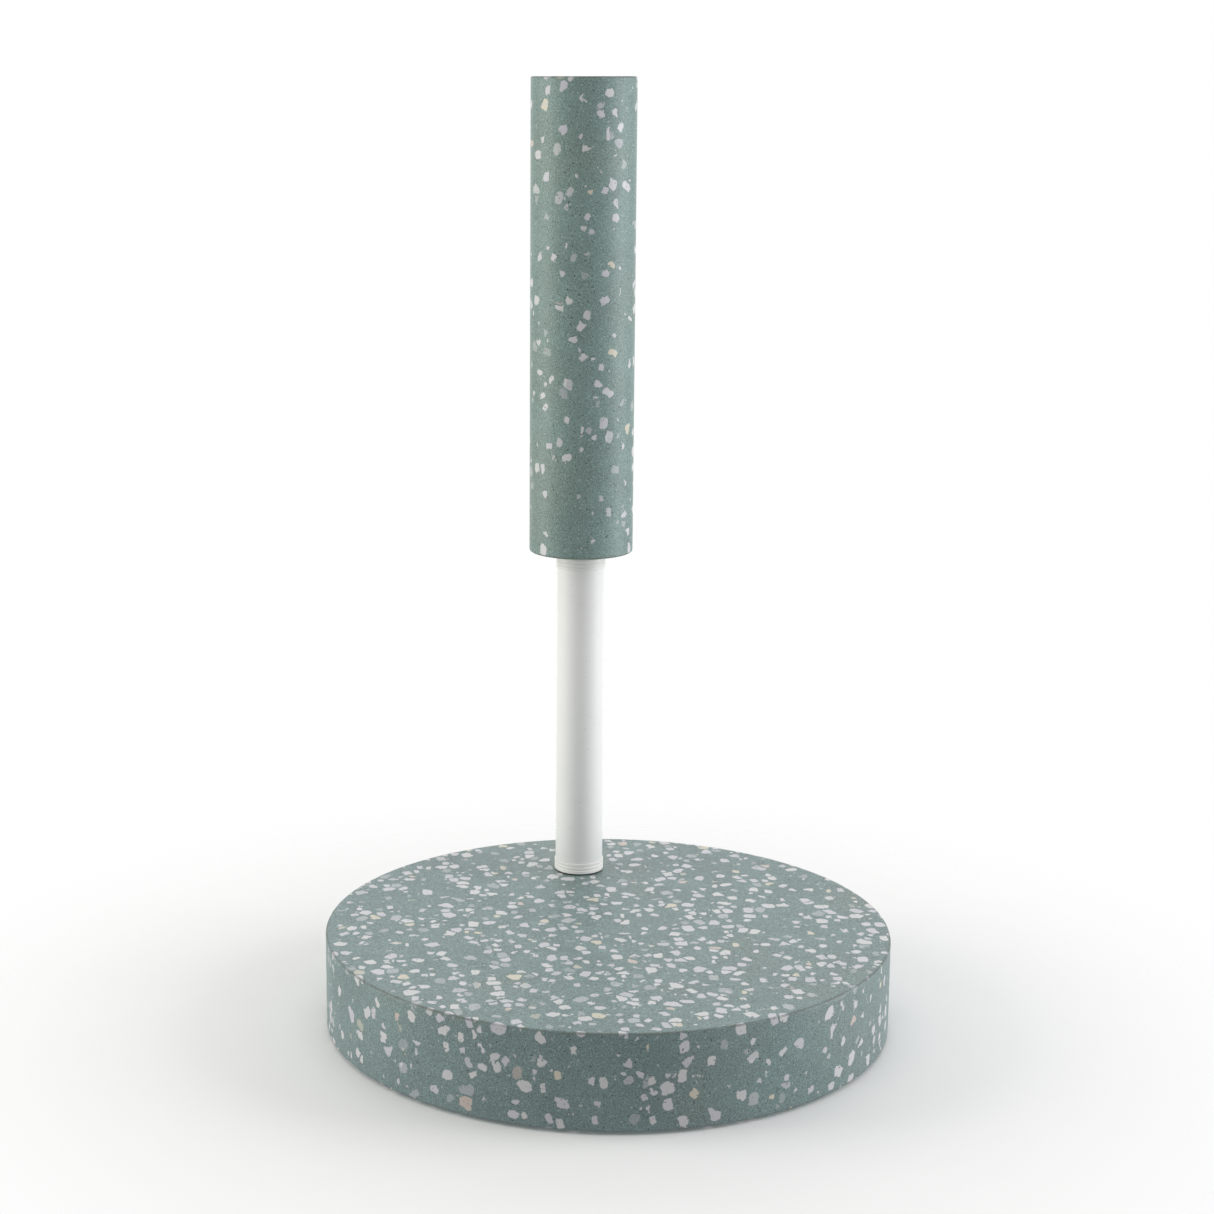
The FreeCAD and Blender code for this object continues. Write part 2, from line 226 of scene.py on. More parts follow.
def wear_rim(piece, axis, radius, height, arris, inward):
    """Rubs down the rounded edge at one radius and height, with a few deeper nicks; inward is -1 at a head.

    The ends of the edge's arc stay, so the flat and the wall beside it stay true.
    """
    centre_radius = radius - arris
    centre_height = height + inward * arris
    for vertex in piece.data.vertices:
        out = (vertex.co - axis) * Vector((1, 1, 0))
        beyond = out.length - centre_radius
        past = (vertex.co.z - centre_height) * -inward
        if beyond < TOLERANCE or past < TOLERANCE:
            continue
        rub = max(0.0, noise.noise(vertex.co / RUB_SIZE)) * RUB_DEPTH
        nick = max(0.0, noise.noise(vertex.co / NICK_SIZE + NICK_SHIFT) - NICK_LEVEL) * NICK_DEPTH
        depth = min(rub + nick, arris * WEAR_SHARE)
        spoke = out.normalized() * beyond + Vector((0, 0, -inward * past))
        vertex.co -= spoke.normalized() * depth


# ---- material helpers
class Shader:
    """One material's node tree, with short calls for the nodes that the materials here share."""

    def __init__(self, name):
        self.material = bpy.data.materials.new(name)
        self.material.use_nodes = True
        self.tree = self.material.node_tree
        self.tree.nodes.clear()
        self.place = self.add("TexCoord").outputs["Object"]

    def add(self, kind, inputs=None, **settings):
        """A node of one kind; an input is a plain value or another node's output."""
        node = self.tree.nodes.new("ShaderNode" + kind)
        for key, value in settings.items():
            setattr(node, key, value)
        for key, value in (inputs or {}).items():
            if isinstance(value, bpy.types.NodeSocket):
                self.tree.links.new(value, node.inputs[key])
            else:
                node.inputs[key].default_value = value
        return node

    def math(self, operation, a, b=0.0):
        return self.add("Math", {0: a, 1: b}, operation=operation).outputs[0]

    def vector(self, operation, a, b=(0, 0, 0)):
        return self.add("VectorMath", {0: a, 1: b}, operation=operation).outputs[0]

    def scaled(self, vector, factor):
        return self.add("VectorMath", {0: vector, "Scale": factor}, operation="SCALE").outputs[0]

    def ramp(self, value, low, high, to_low=0.0, to_high=1.0):
        """A smooth step from to_low to to_high while value goes from low to high."""
        inputs = {"Value": value, "From Min": low, "From Max": high, "To Min": to_low, "To Max": to_high}
        return self.add("MapRange", inputs, interpolation_type="SMOOTHSTEP").outputs["Result"]

    def mix(self, share, a, b):
        """A colour between a and b."""
        return self.add("Mix", {0: share, 6: a, 7: b}, data_type="RGBA").outputs[2]

    def noise(self, size, detail=2.0, roughness=0.5, where=None):
        """Noise whose blobs are about size metres across, from 0 to 1."""
        inputs = {"Vector": where or self.place, "Scale": 1 / size, "Detail": detail, "Roughness": roughness}
        return self.add("TexNoise", inputs).outputs["Fac"]

    def turned(self, turn, stretch=(1, 1, 1)):
        """The object's coordinates, stretched and turned, so that patterns don't line up."""
        inputs = {"Vector": self.place, "Rotation": turn, "Scale": stretch}
        return self.add("Mapping", inputs).outputs["Vector"]

    def bump(self, height, distance, strength=1.0):
        inputs = {"Height": height, "Distance": distance, "Strength": strength}
        return self.add("Bump", inputs).outputs["Normal"]

    def finish(self, **inputs):
        """The surface itself, from the Principled shader's inputs, with spaces for underscores."""
        surface = self.add("BsdfPrincipled", {key.replace("_", " "): value for key, value in inputs.items()})
        self.add("OutputMaterial", {"Surface": surface.outputs["BSDF"]})
        return self.material


def rgb(red, green, blue):
    return (red, green, blue, 1.0)


def shades(colour, *factors):
    """The same colour made darker or lighter by each factor."""
    return [rgb(*[min(1.0, channel * factor) for channel in colour]) for factor in factors]


# ---- terrazzo
STONE_COLOURS = {
    "white": rgb(0.635, 0.63, 0.64),
    "lilac": rgb(0.555, 0.55, 0.60),
    "cream": rgb(0.62, 0.58, 0.47),
    "pink": rgb(0.56, 0.475, 0.43),
}
CREAM_ABOVE, PINK_ABOVE = 0.93, 0.985    # of a draw from 0 to 1, for the chips of those colours
CHIP_ASPECT = (0.80, 1.0, 1.35)     # stretches a chip's own coordinates: a block of three lengths
SETTLING = 1.15                     # how much denser the chips are at the face that was down in the mould
SETTLED = (5.0 * MM, 1.5 * MM)      # below that face: where the chips start to be denser, and are densest
CHIP_GAP = 0.22 * MM                # chips fade out from twice this far to this far from their cell's border
CHIP_SOFTNESS = 0.09                # of its half length, across a chip's edge
CELL_DISORDER = 0.75                # how far the cells are from a regular grid, from 0 to 1
SHEER_DRAW = 0.36                   # cement partly covers the chips whose draw from 0 to 1 is under this
SHEER_OPACITY = 0.30                # the share that the most covered chip shows
CHIP_LAYERS = (
    # cell, shortest and longest half length in mm, part of the chips' share, shift in mm
    (4.4, 1.0, 2.45, 1.0, (3.1, 7.7, 2.3)),
    (3.0, 0.5, 1.2, 0.16, (11.3, 2.9, 9.1)),
    (1.6, 0.2, 0.45, 0.10, (10.1, 1.7, 4.3)),
)


def chips(s, colour, wobble, cell, half_lengths, share, face, shift):
    """One layer of stone chips over a colour: returns the new colour and how much of each spot is chip.

    Each cell of a 3D pattern may hold one chip, a rounded block with its own turn and size, and the
    surface cuts through it. The chips sank while the cement was wet, so they lie closer together near the
    face that was down in the mould, at the height face.
    """
    spot = s.vector("ADD", s.vector("ADD", s.place, wobble), Vector(shift) * MM)
    cells = {"Vector": spot, "Scale": 1 / cell, "Randomness": CELL_DISORDER}
    pattern = s.add("TexVoronoi", cells)
    border = s.add("TexVoronoi", cells, feature="DISTANCE_TO_EDGE").outputs["Distance"]
    draw = s.add("SeparateColor", {"Color": pattern.outputs["Color"]})
    luck = s.add("TexWhiteNoise", {"Vector": pattern.outputs["Position"]})
    kind = s.add("SeparateColor", {"Color": luck.outputs["Color"]})
    inside = s.vector("SUBTRACT", spot, pattern.outputs["Position"])
    own_turn = s.scaled(pattern.outputs["Color"], math.tau)
    inside = s.add("VectorRotate", {"Vector": inside, "Rotation": own_turn}, rotation_type="EULER_XYZ")
    inside = s.vector("MULTIPLY", inside.outputs[0], CHIP_ASPECT)
    squares = s.vector("MULTIPLY", inside, inside)
    fourth_powers = s.add("VectorMath", {0: squares, 1: squares}, operation="DOT_PRODUCT").outputs["Value"]
    size = s.ramp(kind.outputs[0], 0.0, 1.0, *half_lengths)
    out = s.math("DIVIDE", s.math("POWER", fourth_powers, 0.25), size)
    block = s.ramp(out, 1 + CHIP_SOFTNESS, 1 - CHIP_SOFTNESS)
    body = s.math("MULTIPLY", block, s.ramp(border, CHIP_GAP / cell, 2 * CHIP_GAP / cell))
    level = s.add("SeparateXYZ", {"Vector": pattern.outputs["Position"]}).outputs["Z"]
    settling_from = face + shift[2] * MM - SETTLED[0]
    settling_to = face + shift[2] * MM - SETTLED[1]
    sunk = s.ramp(level, settling_from, settling_to, share, share * SETTLING)
    chosen = s.math("LESS_THAN", luck.outputs["Value"], sunk)
    stone = s.mix(s.ramp(draw.outputs[0], 0.25, 0.95), STONE_COLOURS["white"], STONE_COLOURS["lilac"])
    stone = s.mix(s.math("GREATER_THAN", kind.outputs[1], CREAM_ABOVE), stone, STONE_COLOURS["cream"])
    stone = s.mix(s.math("GREATER_THAN", kind.outputs[1], PINK_ABOVE), stone, STONE_COLOURS["pink"])
    opacity = s.ramp(kind.outputs[2], 0.0, SHEER_DRAW, SHEER_OPACITY, 1.0)
    chip = s.math("MULTIPLY", body, chosen)
    return s.mix(s.math("MULTIPLY", chip, opacity), colour, stone), chip


RAGGED_SIZE, RAGGEDNESS = 1.7 * MM, 1.5 * MM       # of the chips' outlines
CLOUD_SIZE, PATCH_SIZE = 16 * MM, 48 * MM
OLIVE = (1.02, 0.90, 0.82)          # what the cement's colour is multiplied by in its olive patches
GRAIN_SIZE, VEIN_SIZE, PIT_SIZE, EDGE_SHADE_SIZE = 0.4 * MM, 0.8 * MM, 0.75 * MM, 7 * MM
PALE_GRAIN = (0.50, 0.80)           # levels of the grain's noise: where it starts to be pale, and is palest
BLACK_GRAIN = (0.47, 0.22)          # the same for black
PIT_LEVELS = (0.705, 0.745)         # levels of the pits' noise: at a pit's rim and in its middle
GRAIN_RELIEF = 0.12                 # how high the grain stands, as a share of a pit's depth
PIT_DEPTH = 0.16 * MM
VEIN_COLOUR = (0.5, 0.5, 0.54)
# near black: painted shade inside the pinholes, which the bump dents
PIT_SHADE_COLOUR = (0.03, 0.045, 0.045)
# painted shade: the colour that darkens both rounded edges
EDGE_SHADE_COLOUR = (0.10, 0.115, 0.10)
EDGE_SHADE_REACH = ((0.9 * MM, 0.35 * MM), (0.75 * MM, 0.25 * MM))    # in from the wall, and along it
CEMENT_ROUGHNESS, STONE_ROUGHNESS = 0.50, 0.40


def terrazzo(name, cement, share, scale, axis, radius, heights):
    """Honed cement terrazzo, with painted shade darkening its two edges.

    share is how many of the pattern's cells hold a chip, scale multiplies the chips' sizes, and axis, radius
    and heights are those of the two edges.
    """
    s = Shader(name)
    ragged = s.add("TexNoise", {"Vector": s.place, "Scale": 1 / RAGGED_SIZE, "Detail": 2.0}).outputs["Color"]
    wobble = s.scaled(s.vector("SUBTRACT", ragged, (0.5, 0.5, 0.5)), RAGGEDNESS)
    dark, light, pale, black = shades(cement, 0.88, 1.05, 2.0, 0.36)
    colour = s.mix(s.ramp(s.noise(CLOUD_SIZE, 3.0, 0.6), 0.3, 0.7), dark, light)
    olive = [channel * factor for channel, factor in zip(cement, OLIVE)]
    colour = s.mix(s.ramp(s.noise(PATCH_SIZE, 2.0, 0.55), 0.50, 0.72, 0.0, 0.6), colour, rgb(*olive))
    grain = s.noise(GRAIN_SIZE, 1.5, 0.6)
    colour = s.mix(s.ramp(grain, *PALE_GRAIN), colour, pale)
    colour = s.mix(s.ramp(grain, *BLACK_GRAIN), colour, black)
    covered = None
    for cell, shortest, longest, part, shift in CHIP_LAYERS:
        half_lengths = (shortest * scale * MM, longest * scale * MM)
        colour, chip = chips(s, colour, wobble, cell * MM, half_lengths, share * part, heights[1], shift)
        covered = chip if covered is None else s.math("MAXIMUM", covered, chip)
    veins = s.noise(VEIN_SIZE, 3.0, 0.6, s.turned((0.9, 0.3, 0.6)))
    veined = s.math("MULTIPLY", covered, s.ramp(veins, 0.35, 0.75, 0.0, 0.22))
    colour = s.mix(veined, colour, rgb(*VEIN_COLOUR))
    # Pits: real dents in the bump, coloured near black as painted shade inside them
    pits = s.ramp(s.noise(PIT_SIZE, 1.0, 0.5, s.turned((0.4, 0.9, 0.1))), *PIT_LEVELS)
    colour = s.mix(pits, colour, rgb(*PIT_SHADE_COLOUR))
    apart = s.add("SeparateXYZ", {"Vector": s.place})
    level = apart.outputs["Z"]
    flat = s.add("CombineXYZ", {"X": apart.outputs["X"], "Y": apart.outputs["Y"]})
    away = s.add("VectorMath", {0: flat.outputs[0], 1: axis}, operation="DISTANCE").outputs["Value"]
    inward, along = EDGE_SHADE_REACH
    at_side = s.ramp(away, radius - inward[0], radius - inward[1])
    # Painted shade: a dark band, broken up by noise, along both rounded edges, at the head and at the foot
    for height in heights:
        near = s.math("ABSOLUTE", s.math("SUBTRACT", level, height))
        rim = s.math("MULTIPLY", at_side, s.ramp(near, *along))
        painted_edge_shade = s.math("MULTIPLY", rim, s.ramp(s.noise(EDGE_SHADE_SIZE, 3.0, 0.6), 0.3, 0.65, 0.25, 0.75))
        colour = s.mix(painted_edge_shade, colour, rgb(*EDGE_SHADE_COLOUR))
    relief = s.math("SUBTRACT", s.math("MULTIPLY", grain, GRAIN_RELIEF), pits)
    roughness = s.ramp(covered, 0.0, 1.0, CEMENT_ROUGHNESS, STONE_ROUGHNESS)
    return s.finish(Base_Color=colour, Roughness=roughness, Normal=s.bump(relief, PIT_DEPTH, 0.4), IOR=1.55)


# ---- the other materials
def powder_coat(name, colour):
    """Sprayed and baked paint with the fine waviness that it sets with."""
    s = Shader(name)
    cloud = s.noise(22 * MM, 3.0)
    pale, dull = shades(colour, 1.0, 0.97)
    waves = s.noise(0.9 * MM, 1.5, 0.4)
    dust = s.ramp(s.noise(0.6 * MM, 0.0, 0.5, s.turned((0.3, 0.8, 0.5))), 0.80, 0.84)
    shade = s.mix(s.ramp(cloud, 0.35, 0.7), pale, dull)
    dust_colour = rgb(0.45, 0.44, 0.42)
    shade = s.mix(s.math("MULTIPLY", dust, 0.35), shade, dust_colour)
    roughness = s.ramp(waves, 0.2, 0.8, 0.36, 0.48)
    normal = s.bump(waves, 0.03 * MM, 0.35)
    return s.finish(Base_Color=shade, Roughness=roughness, Normal=normal, IOR=1.45, Specular_IOR_Level=0.25)


def moulded_plastic(name, colour, roughness):
    """Moulded plastic with a lightly sparked skin."""
    s = Shader(name)
    light, dull = shades(colour, 1.02, 0.96)
    sparks = s.noise(0.28 * MM, 2.0, 0.6)
    shade = s.mix(s.ramp(s.noise(9 * MM, 3.0), 0.3, 0.7), light, dull)
    gloss = s.ramp(sparks, 0.25, 0.75, roughness * 0.88, roughness * 1.12)
    return s.finish(Base_Color=shade, Roughness=gloss, Normal=s.bump(sparks, 0.02 * MM, 0.4), IOR=1.47)


def plated_steel(name, colour, roughness, lines):
    """Turned or rolled steel: fine lines round the post, of the given spacing, under a clouded plating."""
    s = Shader(name)
    strokes = s.noise(lines, 2.0, 0.6, s.turned((0, 0, 0), stretch=(0.08, 0.08, 1.0)))
    cloud = s.noise(4 * MM, 4.0, 0.65)
    bright, dull = shades(colour, 1.08, 0.80)
    shade = s.mix(s.ramp(cloud, 0.3, 0.75), bright, dull)
    worn = s.ramp(cloud, 0.3, 0.8, roughness, roughness * 1.5)
    gloss = s.math("ADD", worn, s.math("MULTIPLY", strokes, 0.06))
    normal = s.bump(strokes, 0.012 * MM, 0.5)
    return s.finish(Base_Color=shade, Roughness=gloss, Normal=normal, Metallic=1.0)


def rubber(name, colour, cell):
    """Dull rubber or foam sheet with pores of one size, darkened with painted shade, and a little dust."""
    s = Shader(name)
    cells = s.add("TexVoronoi", {"Vector": s.place, "Scale": 1 / cell}).outputs["Distance"]
    skin = s.ramp(cells, 0.1, 0.7, 1.0, 0.0)
    pore_shade, black, grey = shades(colour, 0.45, 1.0, 3.2)
    dust = s.ramp(s.noise(6 * MM, 4.0, 0.65), 0.42, 0.72)
    # the pores, low in the bump, are darkened with painted shade
    shade = s.mix(skin, pore_shade, s.mix(dust, black, grey))
    roughness = s.ramp(dust, 0.0, 1.0, 0.74, 0.92)
    return s.finish(Base_Color=shade, Roughness=roughness, Normal=s.bump(skin, 0.10 * MM, 0.5), IOR=1.5)


# ---- sizes that the pieces share
base_low, base_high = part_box("base_disc")
column_low, column_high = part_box("column")
pad_low, pad_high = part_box("non_slip_pad")
BASE_RADIUS = (base_high.x - base_low.x) / 2
COLUMN_RADIUS = (column_high.x - column_low.x) / 2
ARRIS = BASE_RADIUS - ring_radii("base_disc", base_high.z, BASE)[-1]
GUARD = 2.3 * ARRIS           # from a worn edge to the points that keep its shading to itself
CAST_EDGE = 0.1 * MM          # rounding of the terrazzo's hidden edges
PAD_EDGE = 0.3 * MM

BASE_SHARE, COLUMN_SHARE = 0.62, 0.41       # of the pattern's cells hold a chip
BASE_CHIPS, COLUMN_CHIPS = 1.05, 1.22       # the chips' scale
CEMENT = (0.184, 0.268, 0.251)
DARKER_CEMENT = (0.172, 0.246, 0.244)
base_ends = (base_low.z, base_high.z)
base_stone = terrazzo(
    "base_terrazzo", DARKER_CEMENT, BASE_SHARE, BASE_CHIPS, BASE, BASE_RADIUS, base_ends
)
column_ends = (column_low.z, column_high.z)
column_stone = terrazzo(
    "column_terrazzo", CEMENT, COLUMN_SHARE, COLUMN_CHIPS, POST, COLUMN_RADIUS, column_ends
)
white_paint = powder_coat("powder_coat", (0.915, 0.91, 0.90))
white_plastic = moulded_plastic("white_plastic", (0.90, 0.89, 0.865), 0.42)
natural_nylon = moulded_plastic("natural_nylon", (0.78, 0.77, 0.70), 0.40)
grey_plastic = moulded_plastic("grey_plastic", (0.36, 0.37, 0.36), 0.50)
zinc = plated_steel("zinc_plate", (0.58, 0.59, 0.62), 0.26, 0.25 * MM)
bright_steel = plated_steel("spindle_steel", (0.56, 0.56, 0.57), 0.18, 0.12 * MM)
foam = rubber("pad_rubber", (0.022, 0.022, 0.024), 0.9 * MM)
fibre = rubber("gasket_rubber", (0.018, 0.018, 0.018), 0.4 * MM)
LOOKS = {
    "stem_white": white_paint,
    "plug_white": white_plastic,
    "cap_white": white_plastic,
    "liner_plastic": grey_plastic,
    "bearing_plastic": natural_nylon,
    "zinc_steel": zinc,
    "spindle_steel": bright_steel,
    "pad_rubber": foam,
    "gasket_rubber": fibre,
}


# ---- pieces
def base():
    """The terrazzo disc: recess for the pad, pocket for the nut, grooves where the liner's ribs key in."""
    recess = ring_radii("base_disc", pad_high.z, BASE)[-1]
    outline = [(0, pad_high.z), (recess, pad_high.z), (recess, base_low.z), (BASE_RADIUS, base_low.z),
               (BASE_RADIUS, base_high.z), (0, base_high.z)]
    outline = guarded(outline, BASE_RADIUS, base_ends)
    roundings = [ARRIS if radius == BASE_RADIUS else CAST_EDGE for radius, height in outline]
    piece = lathe("base_terrazzo", softened(outline, roundings), BASE, BASE_TURN)
    pocket = ring_radii("base_disc", pad_high.z, POST)[0]
    sleeve = outside("base_liner")
    cutter = [(0, 0), (pocket, 0), (pocket, sleeve[0][1])] + sleeve
    cutter += [(sleeve[-1][0], base_high.z + ARRIS), (0, base_high.z + ARRIS)]
    cut(piece, lathe("pocket_cutter", cutter))
    wear_rim(piece, BASE, BASE_RADIUS, base_high.z, ARRIS, -1)
    wear_rim(piece, BASE, BASE_RADIUS, base_low.z, ARRIS, 1)
    return place(piece, "base_disc", base_stone)


def column():
    """The terrazzo column: seat for the lower bush, recess in its head and grooves for the liner's ribs."""
    seat = ring_radii("column", column_low.z, POST)[0]
    recess = ring_radii("column", column_high.z, POST)[0]
    sleeve = outside("column_liner")
    outline = [(seat, column_low.z), (COLUMN_RADIUS, column_low.z), (COLUMN_RADIUS, column_high.z),
               (recess, column_high.z), (recess, sleeve[-1][1])] + sleeve[::-1] + [(seat, sleeve[0][1])]
    outline = guarded(outline, COLUMN_RADIUS, column_ends)
    roundings = [ARRIS if radius == COLUMN_RADIUS else CAST_EDGE for radius, height in outline]
    piece = lathe("column_terrazzo", softened(outline, roundings), POST, COLUMN_TURN)
    wear_rim(piece, POST, COLUMN_RADIUS, column_high.z, ARRIS, -1)
    wear_rim(piece, POST, COLUMN_RADIUS, column_low.z, ARRIS, 1)
    return place(piece, "column", column_stone)


def pad():
    """The foam pad with its access hole."""
    radius = (pad_high.x - pad_low.x) / 2
    outline = [(0, pad_low.z), (radius, pad_low.z), (radius, pad_high.z), (0, pad_high.z)]
    piece = lathe("pad", softened(outline, PAD_EDGE), BASE, BASE_TURN)
    hole = ring_radii("non_slip_pad", pad_low.z, POST)[0]
    margin = 1 * MM
    low, high = pad_low.z - margin, pad_high.z + margin
    cutter = [(0, low), (hole, low), (hole, high), (0, high)]
    cut(piece, lathe("hole_cutter", cutter))
    return place(piece, "non_slip_pad", foam)


def cap():
    """The cap, its lid crowned a little, and its skirt."""
    low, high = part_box("top_cap")
    radius = (high.x - low.x) / 2
    skirt = ring_radii("top_cap", low.z, POST)[0]
    heights = sorted({round(vertex.co.z, 6) for vertex in frame["nodes"]["top_cap"].data.vertices})
    underside = heights[1]
    crown = 0.25 * MM
    rows = 8
    skirt_edge, lid_edge = 0.2 * MM, 0.4 * MM
    lid = [(radius * i / rows, high.z - crown * (i / rows) ** 2) for i in range(rows, -1, -1)]
    outline = [(0, underside), (skirt, underside), (skirt, low.z), (radius, low.z)] + lid
    roundings = [0, skirt_edge, skirt_edge, skirt_edge, lid_edge] + [0] * rows
    return place(lathe("cap", softened(outline, roundings)), "top_cap", white_plastic)


OIL_FILM = 0.02 * MM          # between the lower bush and the washer that it turns on
THREAD_PITCH = 1.25 * MM
THREAD_DEPTH = 0.65 * MM
THREAD_ROWS = 10              # mesh rows in each turn of the thread
THREAD_FULLNESS = 0.6         # under 1, it makes the ridges wider than the grooves
ROD_TURN = 60                 # mesh faces round the rod


def rod():
    """The tie rod: a plain shank with a thread at each end, as long as its nuts and washers need."""
    low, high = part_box("tie_rod")
    radius = (high.x - low.x) / 2
    ends = (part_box("base_washer")[1].z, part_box("top_washer")[0].z)
    bevel = 0.8 * MM
    row = THREAD_PITCH / THREAD_ROWS
    heights = [low.z + row * i for i in range(int((ends[0] - low.z) / row) + 1)]
    heights += [high.z - row * i for i in range(int((high.z - ends[1]) / row), -1, -1)]

    def threaded(angle, reach, height):
        """The radius on the thread's rounded ridges, which fade into the shank and into the bevelled ends."""
        phase = height / THREAD_PITCH - angle / math.tau
        ridge = 0.5 + 0.5 * math.cos(math.tau * phase)
        fade = min(1.0, max(0.0, ends[0] - height, height - ends[1]) / THREAD_PITCH)
        from_end = min(height - low.z, high.z - height)
        return min(reach - THREAD_DEPTH * fade * (1 - ridge ** THREAD_FULLNESS), radius - bevel + from_end)

    outline = [(0, low.z)] + [(radius, height) for height in heights] + [(0, high.z)]
    return place(lathe("threaded_rod", outline, turns=ROD_TURN, shape=threaded), "tie_rod", zinc)


def hexagon_nut():
    """The nut under the base, its corners bevelled by a cone at both faces and its bore countersunk."""
    low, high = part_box("base_nut")
    corner = (high.x - low.x) / 2
    flat = (high.y - low.y) / 2
    bore = ring_radii("base_nut", low.z, POST)[0]
    sink = 0.5 * MM
    slope = math.tan(math.radians(30))
    bevel = (corner - flat) * slope
    rows = 6
    steps = [bevel * i / rows for i in range(rows + 1)]
    heights = [low.z + step for step in steps] + [high.z - step for step in steps[::-1]]

    def hexagonal(angle, radius, height):
        """The radius on the flats or on the bevel's cone, whichever is smaller; the bore stays round."""
        if radius < corner - TOLERANCE:
            return radius
        side = flat / math.cos(angle % (math.tau / 6) - math.tau / 12)
        return min(side, flat + min(height - low.z, high.z - height) / slope)

    outline = [(bore + sink, low.z)] + [(corner, height) for height in heights]
    outline += [(bore + sink, high.z), (bore, high.z - sink), (bore, low.z + sink)]
    return place(lathe("hexagon_nut", outline, shape=hexagonal), "base_nut", zinc)


def spring_washer():
    """The split washer: a round-edged section swept from one side of its slanted slot to the other."""
    low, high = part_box("base_spring_washer")
    inner = ring_radii("base_spring_washer", low.z, POST)[0]
    outer = ring_radii("base_spring_washer", low.z, POST)[-1]
    edge, half_gap = 0.25 * MM, 0.5 * MM
    section = softened([(inner, low.z), (outer, low.z), (outer, high.z), (inner, high.z)], edge)
    half_slot = half_gap / ((inner + outer) / 2)
    lean = math.tan(math.radians(25))
    vertices = []
    for step in range(FINE_TURN + 1):
        for radius, height in section:
            angle = math.pi / 2 + half_slot + (math.tau - 2 * half_slot) * step / FINE_TURN
            angle -= (height - (low.z + high.z) / 2) * lean / radius
            vertices.append(POST + Vector((radius * math.cos(angle), radius * math.sin(angle), height)))
    count = len(section)
    faces = [list(range(count)), [FINE_TURN * count + i for i in range(count)]]
    for step in range(FINE_TURN):
        for i in range(count):
            near, far = step * count + i, step * count + (i + 1) % count
            faces.append([near, far, far + count, near + count])
    return place(make("spring_washer", vertices, faces), "base_spring_washer", zinc)


def turned_copy(node, rounding):
    """A finer copy of a CAD node that is turned about the post, with its edges softened.

    The lower bush starts a little higher, so that its face doesn't cut the washer's as it turns.
    """
    outline = whole(node)
    if node == "lower_bush":
        foot = outline[0][1]
        outline = [(radius, height + OIL_FILM if height == foot else height) for radius, height in outline]
    piece = lathe(node + "_turned", softened(outline, rounding))
    return place(piece, node, LOOKS[SLOTS[node]])


base()
column()
pad()
cap()
rod()
hexagon_nut()
spring_washer()
for node, rounding in {
    "stem_tube": 0.25 * MM,
    "lower_plug": 0.08 * MM,
    "upper_plug": 0.08 * MM,
    "foot_gasket": 0.15 * MM,
    "thrust_washer": 0.2 * MM,
    "base_washer": 0.25 * MM,
    "top_washer": 0.2 * MM,
    "lower_bush": 0.2 * MM,
    "upper_bush": 0.2 * MM,
    "spindle": 0.2 * MM,
    "base_liner": 0.1 * MM,
    "column_liner": 0.1 * MM,
    "lock_nut_ring": 0.2 * MM,
}.items():
    turned_copy(node, rounding)
lock_nut = frame["nodes"]["lock_nut"]
lock_nut.data.materials.clear()
lock_nut.data.materials.append(zinc)

# ---- camera
HEADING = math.radians(7.19)          # the camera looks this far clockwise of the direction from base to post
PITCH = math.radians(11.483)          # and this far down
BACK, LEFT = 0.73706, 0.03417         # from the base's centre; its height is that of the column's top
LENS, SENSOR = 71.652, 36.0           # in mm
SHIFT = (0.08781, -0.03295)           # across and up, as shares of the picture's width
lo, hi = CAD_BOX
cam_data = bpy.data.cameras.new("camera")
cam = bpy.data.objects.new("camera", cam_data)
bpy.context.scene.collection.objects.link(cam)
cam_data.sensor_width = SENSOR
cam_data.lens = LENS
cam_data.shift_x, cam_data.shift_y = SHIFT
cam_data.clip_start = 0.01
cam_data.clip_end = 100
ahead = Vector((math.sin(HEADING), math.cos(HEADING), 0))
right = Vector((math.cos(HEADING), -math.sin(HEADING), 0))
cam.location = -BACK * ahead - LEFT * right + Vector((0, 0, hi.z))
aim = ahead * math.cos(PITCH) - Vector((0, 0, math.sin(PITCH)))
cam.rotation_euler = aim.to_track_quat("-Z", "Y").to_euler()
bpy.context.scene.camera = cam

# ---- floor: seen from above only, it fades into the white round the holder
FLOOR_RADIUS = 3
FADE = (0.09, 0.26)                   # from the base's centre
bpy.ops.mesh.primitive_circle_add(vertices=128, radius=FLOOR_RADIUS, fill_type="NGON")
floor = bpy.context.object
floor.name = "floor"
s = Shader("floor")
away = s.add("VectorMath", {0: s.place}, operation="LENGTH").outputs["Value"]
speckle = s.noise(0.02, 3.0)
pale = s.mix(speckle, rgb(0.93, 0.93, 0.93), rgb(0.95, 0.95, 0.95))
diffuse = s.add("BsdfDiffuse", {"Color": pale}).outputs[0]
clear = s.add("BsdfTransparent").outputs[0]
from_below = s.add("NewGeometry").outputs["Backfacing"]
gone = s.math("MAXIMUM", s.ramp(away, *FADE), from_below)
fade = s.add("MixShader", {0: gone, 1: diffuse, 2: clear}).outputs[0]
s.add("OutputMaterial", {"Surface": fade})
floor.data.materials.append(s.material)
floor.visible_diffuse = False
floor.visible_glossy = False


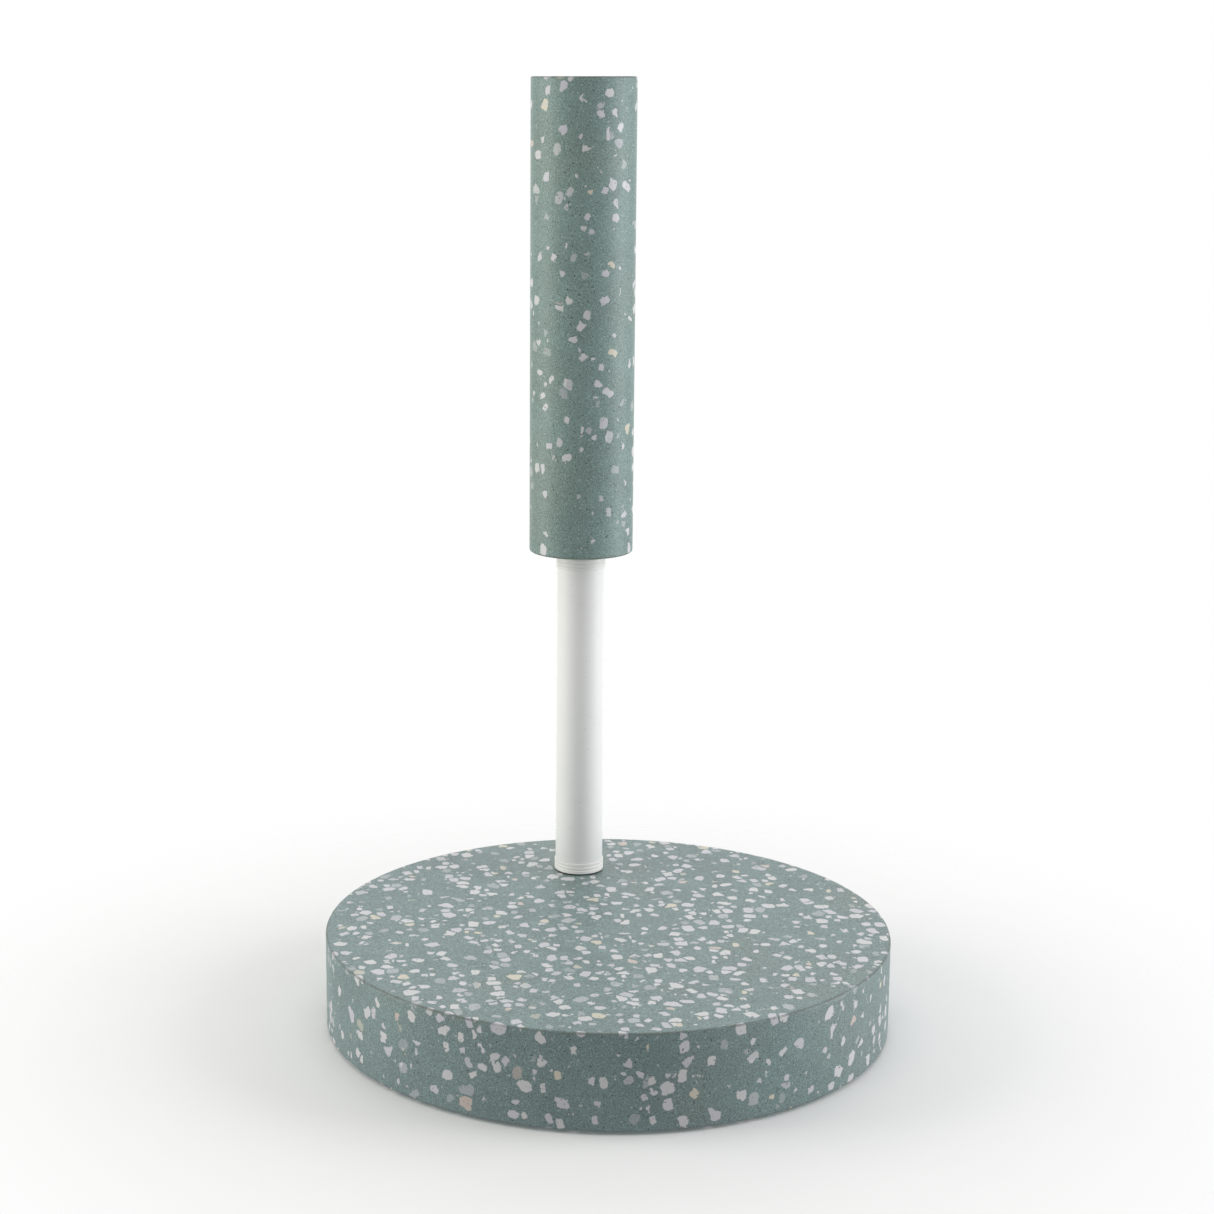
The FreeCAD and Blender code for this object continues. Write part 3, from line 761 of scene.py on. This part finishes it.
# ---- light
def softbox(name, azimuth, elevation, distance, width, height, power, colour):
    """A soft area light aimed at the holder's middle, in metres, degrees and watts.

    azimuth is from the camera's side, positive to its right.
    """
    light = bpy.data.lights.new(name, "AREA")
    light.shape = "RECTANGLE"
    light.size, light.size_y = width, height
    light.energy, light.color = power, colour
    obj = bpy.data.objects.new(name, light)
    bpy.context.scene.collection.objects.link(obj)
    turn = math.radians(azimuth)
    flat = -ahead * math.cos(turn) + right * math.sin(turn)
    rise = math.radians(elevation)
    direction = flat * math.cos(rise) + Vector((0, 0, math.sin(rise)))
    middle = (lo + hi) / 2
    obj.location = middle + direction * distance
    obj.rotation_euler = (-direction).to_track_quat("-Z", "Y").to_euler()
    obj.visible_camera = False


for name, azimuth, elevation, distance, width, height, power, colour in (
    ("left_box", -90, 8, 1.0, 0.6, 1.0, 6.4, (1.0, 1.0, 0.92)),
    ("right_box", 90, 8, 1.0, 0.6, 1.0, 7.8, (0.98, 1.0, 1.01)),
    ("back_box", 180, 8, 1.2, 1.6, 1.4, 4.7, (1.0, 1.0, 1.0)),
    ("top_box", 0, 88, 1.2, 1.0, 1.0, 2.9, (1.0, 0.99, 0.97)),
):
    softbox(name, azimuth, elevation, distance, width, height, power, colour)

# ---- surroundings: white behind the holder, and dimmer light from all round it
SEEN, MIRRORED, SHED = 1.0, 0.70, 0.462     # its strength to the camera, in gloss and as light
world = bpy.data.worlds.new("studio")
bpy.context.scene.world = world
world.use_nodes = True
nodes, links = world.node_tree.nodes, world.node_tree.links
nodes.clear()
path = nodes.new("ShaderNodeLightPath")
strength = None
for output, level in (("Is Camera Ray", SEEN), ("Is Glossy Ray", MIRRORED), ("Is Diffuse Ray", SHED)):
    part = nodes.new("ShaderNodeMath")
    part.operation = "MULTIPLY"
    part.inputs[1].default_value = level
    links.new(path.outputs[output], part.inputs[0])
    if strength is not None:
        both = nodes.new("ShaderNodeMath")
        both.operation = "ADD"
        links.new(strength, both.inputs[0])
        links.new(part.outputs[0], both.inputs[1])
        strength = both.outputs[0]
    else:
        strength = part.outputs[0]
back = nodes.new("ShaderNodeBackground")
back.inputs["Color"].default_value = rgb(1, 1, 1)
links.new(strength, back.inputs["Strength"])
out = nodes.new("ShaderNodeOutputWorld")
links.new(back.outputs[0], out.inputs[0])
bpy.context.scene.view_settings.view_transform = "Standard"
